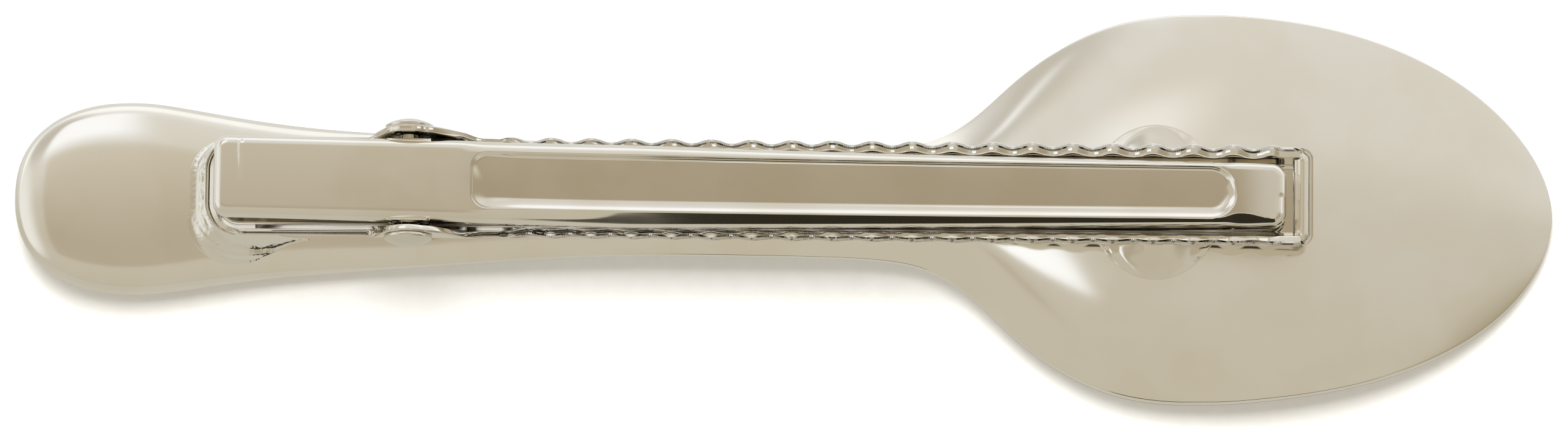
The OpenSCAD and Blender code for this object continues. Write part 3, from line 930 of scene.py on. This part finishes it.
def make_bowl_solder():
    """Smooth oval boss that bonds the tray to the bowl, with puckered margins at its two ends."""
    a = np.linspace(0, 2 * np.pi, PATCH_SPOKES, endpoint=False)
    r = np.repeat(np.arange(PATCH_RINGS + 1) / PATCH_RINGS, PATCH_SPOKES)
    a = np.tile(a, PATCH_RINGS + 1)
    s, y = BOSS_STATION + PATCH_REACH * r * np.cos(a), PATCH_WIDTH * r * np.sin(a)
    away, side = np.abs(s - BOSS_STATION), np.abs(y)
    base = spoon_back(s, y)
    inside = np.clip(1 - (away / DOME_REACH) ** 2 - (side / DOME_WIDTH) ** 2, 0, 1)
    dome = DOME_HEIGHT * inside**DOME_POWER
    ends = smoothstep(*PUCKER_IN, away) * smoothstep(*PUCKER_OUT, away)
    ends *= smoothstep(*PUCKER_SIDE, side)
    uneven = lumps(np.column_stack([s, y]), PUCKER_SIZE, seed=3, pitch=PUCKER_PITCH)
    pucker = np.maximum(ends * (PUCKER_HEIGHT + uneven), -0.01)
    ceiling = TRAY_BOTTOM - TRAY_GAP + CEILING_SLOPE * np.clip(side - TRAY_REACH, 0, None)
    z = np.minimum(base + PATCH_THICK + dome + pucker, ceiling)
    z = np.where(r > PATCH_EDGE, base - EDGE_TUCK, z)
    loops = list(np.column_stack([at(s), y, z]).reshape(PATCH_RINGS + 1, PATCH_SPOKES, 3))
    floor = loops[-1] - (0, 0, BOSS_FOOT)
    middle = loops[0] * (1, 1, 0) + (0, 0, float(spoon_back(BOSS_STATION, 0)) - BOSS_CORE)
    points, faces = loft(loops + [floor, middle], capped=False)
    boss = mesh_object("bowl_solder_boss", points, faces, BOSS)
    return keep(boss, ROOT_BODY, "solder", "bowl_solder")


def fillet_path():
    """Points of the tray's inner line round its tail, far side first, each with its normal."""
    y_mid, s_mid = JAW_HALF - TAIL_CORNER, JAW_TAIL + TAIL_CORNER
    sides = np.arange(FILLET_END, s_mid, -FILLET_STEP)
    turn = np.radians(np.arange(0, 91, 3))
    path = [((s, y_mid), (0, 1)) for s in sides]
    path += [((s_mid, y_mid), (-math.sin(a), math.cos(a))) for a in turn]
    path += [((s_mid, y), (-1, 0)) for y in np.arange(y_mid, -y_mid, -FILLET_STEP)[1:]]
    path += [((s_mid, -y_mid), (-math.cos(a), -math.sin(a))) for a in turn]
    path += [((s, -y_mid), (0, -1)) for s in sides[::-1]]
    return path


def make_handle_solder():
    """Fillet of solder round the tray's tail, with a lumpy ridge behind and a smooth near bead."""
    path = fillet_path()
    rows = []
    for centre, normal in path:
        left = float(smoothstep(FILLET_END, FILLET_FULL, centre[0]))
        behind, near = max(-normal[0], 0), max(-normal[1], 0)
        far = FILLET_LEAST + (FILLET_SIDE + FILLET_BEHIND * behind + FILLET_NEAR * near) * left
        for run in np.arange(FILLET_COLUMNS + 1) / FILLET_COLUMNS:
            d = FILLET_INSIDE + (far - FILLET_INSIDE) * run
            s, y = (c + n * (TAIL_CORNER + d) for c, n in zip(centre, normal))
            rows.append((s, y, d, run, left, behind, near))
    rows = np.array(rows)
    s, y, d, run, left, behind, near = rows.T
    base = spoon_back(s, y)
    wall = base + FILLET_LIP + (TRAY_BOTTOM + FILLET_CLIMB - base) * left
    z = base + (wall - base) * (1 - run) ** FILLET_POWER
    crest = CREST_HEIGHT + lumps(rows, CREST_LUMPS, seed=8, pitch=CREST_PITCH)
    crest *= ridge(d, CREST_AT, CREST_WIDTH) * smoothstep(*CREST_BEHIND, behind)
    bead = BEAD_HEIGHT * ridge(d, BEAD_AT, BEAD_WIDTH) * near * left
    z += crest * smoothstep(*CREST_FADE, run) + bead * smoothstep(*BEAD_FADE, run)
    z = np.where(run > 1 - 1e-6, base - FILLET_TUCK, np.maximum(z, base - FILLET_LOWEST))
    shape = (len(path), FILLET_COLUMNS + 1, 3)
    upper = np.column_stack([at(s), y, z]).reshape(shape)
    lower = np.column_stack([at(s), y, base - FILLET_FOOT]).reshape(shape)
    loops = list(np.concatenate([upper, lower[:, ::-1]], axis=1))
    fillet = mesh_object("handle_solder_fillet", *loft(loops), SOLDER)
    return keep(fillet, ROOT_BODY, "solder", "handle_solder")


# ---------------------------------------------------------------- stage

PLATE_COLOUR = (0.915, 0.885, 0.825)
FLOOR_REACH = 6000
FLOOR_GAP, MIRRORED_GAP = 0.02, 0.03
KEY_POWER = 6.0
FILL_POWER = 0.5
CAMERA_ELEVATION, CAMERA_ROLL = 77.0, -0.6
CAMERA_DISTANCE = 1000.0
CAMERA_TARGET = (0.0, -1.15, 2.2)
SENSOR_WIDTH = 36
FRAME_WIDTH = 107.0


def seen(red, green, blue):
    """Brightness of a surrounding that the plated metal shows as this display colour."""
    shown = [c / 255 for c in (red, green, blue)]
    linear = [c / 12.92 if c < 0.04045 else ((c + 0.055) / 1.055) ** 2.4 for c in shown]
    return tuple(c / p for c, p in zip(linear, PLATE_COLOUR))


def paper_material(name, dark, pale):
    """Matt paper with a faint grain."""
    material, n, place = new_material(name)
    colour = n.ramp(n.noise(place, 900.0, 3.0), [(0.3, dark), (0.7, pale)])
    inputs = {"Base Color": colour, "Roughness": 0.9, "Specular IOR Level": 0.0}
    shader = n.add("ShaderNodeBsdfPrincipled", inputs)
    n.add("ShaderNodeOutputMaterial", {"Surface": shader.outputs[0]})
    return material


def painted_floor_reflection():
    """Glowing sheet that paints the floor as the metal mirrors it: warm in front of the object and
    pale behind it.
    """
    material, n, place = new_material("painted_floor_reflection")
    behind = n.add("ShaderNodeSeparateXYZ", {"Vector": place}).outputs["Y"]
    share = n.smooth_range(behind, -4 * MM, 8 * MM)
    # painted reflection: the floor's tint in the metal, glowing with no lamp behind it
    tint = n.mix(share, seen(192, 185, 167), seen(218, 215, 206))
    glow = n.add("ShaderNodeEmission", {"Color": tint, "Strength": 1.0})
    n.add("ShaderNodeOutputMaterial", {"Surface": glow.outputs[0]})
    return material


def make_floor():
    """Pale paper floor; the metal mirrors a warmer glowing sheet instead, a painted reflection of the
    floor.
    """
    size = FLOOR_REACH
    corners = [(-size, -size, 0), (size, -size, 0), (size, size, 0), (-size, size, 0)]
    pale = paper_material("pale_paper", (0.9, 0.9, 0.9), (0.92, 0.92, 0.92))
    floor = mesh_object("floor", corners, [(0, 1, 2, 3)], pale)
    floor.location.z = -FLOOR_GAP * MM
    floor.visible_glossy = False
    # glowing sheet seen only in reflections: a painted reflection of the floor
    mirrored = mesh_object("mirrored_floor", corners, [(0, 1, 2, 3)], painted_floor_reflection())
    mirrored.location.z = -MIRRORED_GAP * MM
    only_reflected(mirrored)


def only_reflected(piece):
    """Leaves a piece of the studio to be seen in reflections alone."""
    piece.visible_camera = False
    piece.visible_diffuse = False
    piece.visible_shadow = False
    piece.visible_transmission = False


def direction(tilt_x, tilt_y):
    """Unit vector for a direction tipped from straight up towards +X and +Y, in degrees."""
    x, y = math.tan(math.radians(tilt_x)), math.tan(math.radians(tilt_y))
    return Vector((x, y, 1)).normalized()


def make_world():
    """Studio surroundings: light grey behind, warm beige in front, and a few soft patches."""
    world = bpy.data.worlds.new("studio")
    bpy.context.scene.world = world
    world.use_nodes = True
    n = Nodes(world.node_tree)
    ray = n.add("ShaderNodeTexCoord").outputs["Generated"]
    parts = n.add("ShaderNodeSeparateXYZ", {"Vector": ray})
    tilt = n.math("DIVIDE", n.math("ARCTAN2", parts.outputs["Y"], parts.outputs["Z"]), math.pi)
    front_to_back = n.math("ADD", tilt, 0.5, clamp=True)

    def stop(degrees, *colour):
        return (degrees / 180 + 0.5, seen(*colour))

    colour = n.ramp(front_to_back, [
        stop(-90, 188, 180, 160), stop(-60, 191, 182, 161), stop(-10, 193, 184, 164),
        stop(10, 199, 191, 174), stop(24, 212, 206, 192), stop(50, 217, 212, 200),
        stop(62, 226, 222, 213), stop(72, 252, 250, 244), stop(90, 250, 248, 240),
    ])
    patches = [
        ("left_glow", direction(-72, -8), 0.80, 0.99, (234, 231, 222), 1.0),
        ("right_shade", direction(60, -38), 0.84, 0.98, (160, 148, 120), 0.95),
        ("shoulder_shade", direction(-52, 60), 0.9, 0.99, (176, 168, 151), 0.7),
    ]
    for name, towards, outer, inner, shade, strength in patches:
        near = n.add("ShaderNodeVectorMath", {0: ray, 1: towards}, operation="DOT_PRODUCT", name=name)
        level = n.smooth_range(near.outputs["Value"], outer, inner, strength)
        colour = n.mix(level, colour, seen(*shade))
    back = n.add("ShaderNodeBackground", {"Color": colour, "Strength": 1.0})
    n.add("ShaderNodeOutputWorld", {"Surface": back.outputs[0]})


def card(name, centre, across, up, colour, fade, top_colour=None, turn_from=0.0):
    """Soft-edged card in the studio, seen only in reflections.

    across and up are the half-sides of the card; fade is the share of each that is soft.
    The colour turns into top_colour from turn_from to the upper edge.
    """
    across, up = Vector(across), Vector(up)
    material, n, place = new_material(name)
    shares = []
    for side in (across, up):
        inputs = {0: place, 1: side / (side.length_squared * MM)}
        share = n.add("ShaderNodeVectorMath", inputs, operation="DOT_PRODUCT")
        shares.append(share.outputs["Value"])
    covers = [n.smooth_range(n.math("ABSOLUTE", share), 1.0, 1.0 - fade) for share in shares]
    rise = n.smooth_range(shares[1], turn_from)
    tint = n.mix(rise, seen(*colour), seen(*(top_colour or colour)))
    glow = n.add("ShaderNodeEmission", {"Color": tint, "Strength": 1.0})
    clear = n.add("ShaderNodeBsdfTransparent")
    cover = n.math("MULTIPLY", covers[0], covers[1])
    mixed = n.add("ShaderNodeMixShader", {0: cover, 1: clear.outputs[0], 2: glow.outputs[0]})
    n.add("ShaderNodeOutputMaterial", {"Surface": mixed.outputs[0]})
    points = [-across - up, across - up, across + up, up - across]
    piece = mesh_object(name, points, [(0, 1, 2, 3)], material)
    piece.location = Vector(centre) * MM
    only_reflected(piece)


def make_cards():
    """What the metal mirrors nearby: tan and beige overhead, pale banks and a dark flag."""
    tan, beige = (166, 152, 126), (200, 191, 170)
    light_tan, warm_beige = (178, 165, 142), (200, 190, 169)
    card("tan_left", (-56, 6, 90), (46, 0, 0), (0, 46, 0), light_tan, 0.08, warm_beige, -0.4)
    card("tan_right", (17, 17, 90), (33, 0, 0), (0, 13, 0), tan, 0.2, beige, 0.17)
    card("tip_glow", (20, 50, 93), (16, 0, 0), (0, 22, 0), (240, 236, 227), 0.9)
    card("white_bank", (-81, 106, 93), (46, 0, 0), (0, 58, 0), (250, 249, 245), 0.4)
    card("white_patch", (6, -6.5, 40), (10, 0, 0), (0, 5.2, 0), (255, 255, 250), 0.15)
    card("dark_flag", (38.2, -80, 22), (46, 0, 0), (0, 0, 15), (45, 40, 30), 0.04)


def area_light(name, place, size, power):
    """Soft area light aimed at the origin and kept out of reflections."""
    data = bpy.data.lights.new(name, "AREA")
    data.shape = "RECTANGLE"
    data.size, data.size_y = (side * MM for side in size)
    data.energy = power
    light = bpy.data.objects.new(name, data)
    light.location = Vector(place) * MM
    light.rotation_mode = "QUATERNION"
    light.rotation_quaternion = (-Vector(place)).to_track_quat("-Z", "Y")
    light.visible_glossy = False
    bpy.context.scene.collection.objects.link(light)


def make_lights():
    """Large bank behind and above, with a weak fill in front."""
    area_light("key_bank", (-40, 260, 620), (420, 560), KEY_POWER)
    area_light("front_fill", (0, -420, 380), (500, 300), FILL_POWER)


def make_camera():
    """Long lens from high in front, looking down at a steep angle."""
    elevation = math.radians(CAMERA_ELEVATION)
    data = bpy.data.cameras.new("camera")
    data.sensor_width = SENSOR_WIDTH
    data.lens = SENSOR_WIDTH * CAMERA_DISTANCE / FRAME_WIDTH
    data.clip_start, data.clip_end = 0.05, 30
    camera = bpy.data.objects.new("camera", data)
    back = Vector((0, -math.cos(elevation), math.sin(elevation)))
    camera.location = (Vector(CAMERA_TARGET) + back * CAMERA_DISTANCE) * MM
    camera.rotation_mode = "QUATERNION"
    roll = Matrix.Rotation(-math.radians(CAMERA_ROLL), 4, "Z").to_quaternion()
    camera.rotation_quaternion = (-back).to_track_quat("-Z", "Y") @ roll
    bpy.context.scene.collection.objects.link(camera)
    bpy.context.scene.camera = camera


make_camera()
make_floor()
make_world()
make_lights()
make_cards()
make_spoon()
make_lower_jaw()
make_upper_lever()
make_rivet()
make_spring()
make_bowl_solder()
make_handle_solder()

bpy.context.scene.view_settings.view_transform = "Standard"

bpy.context.view_layer.update()
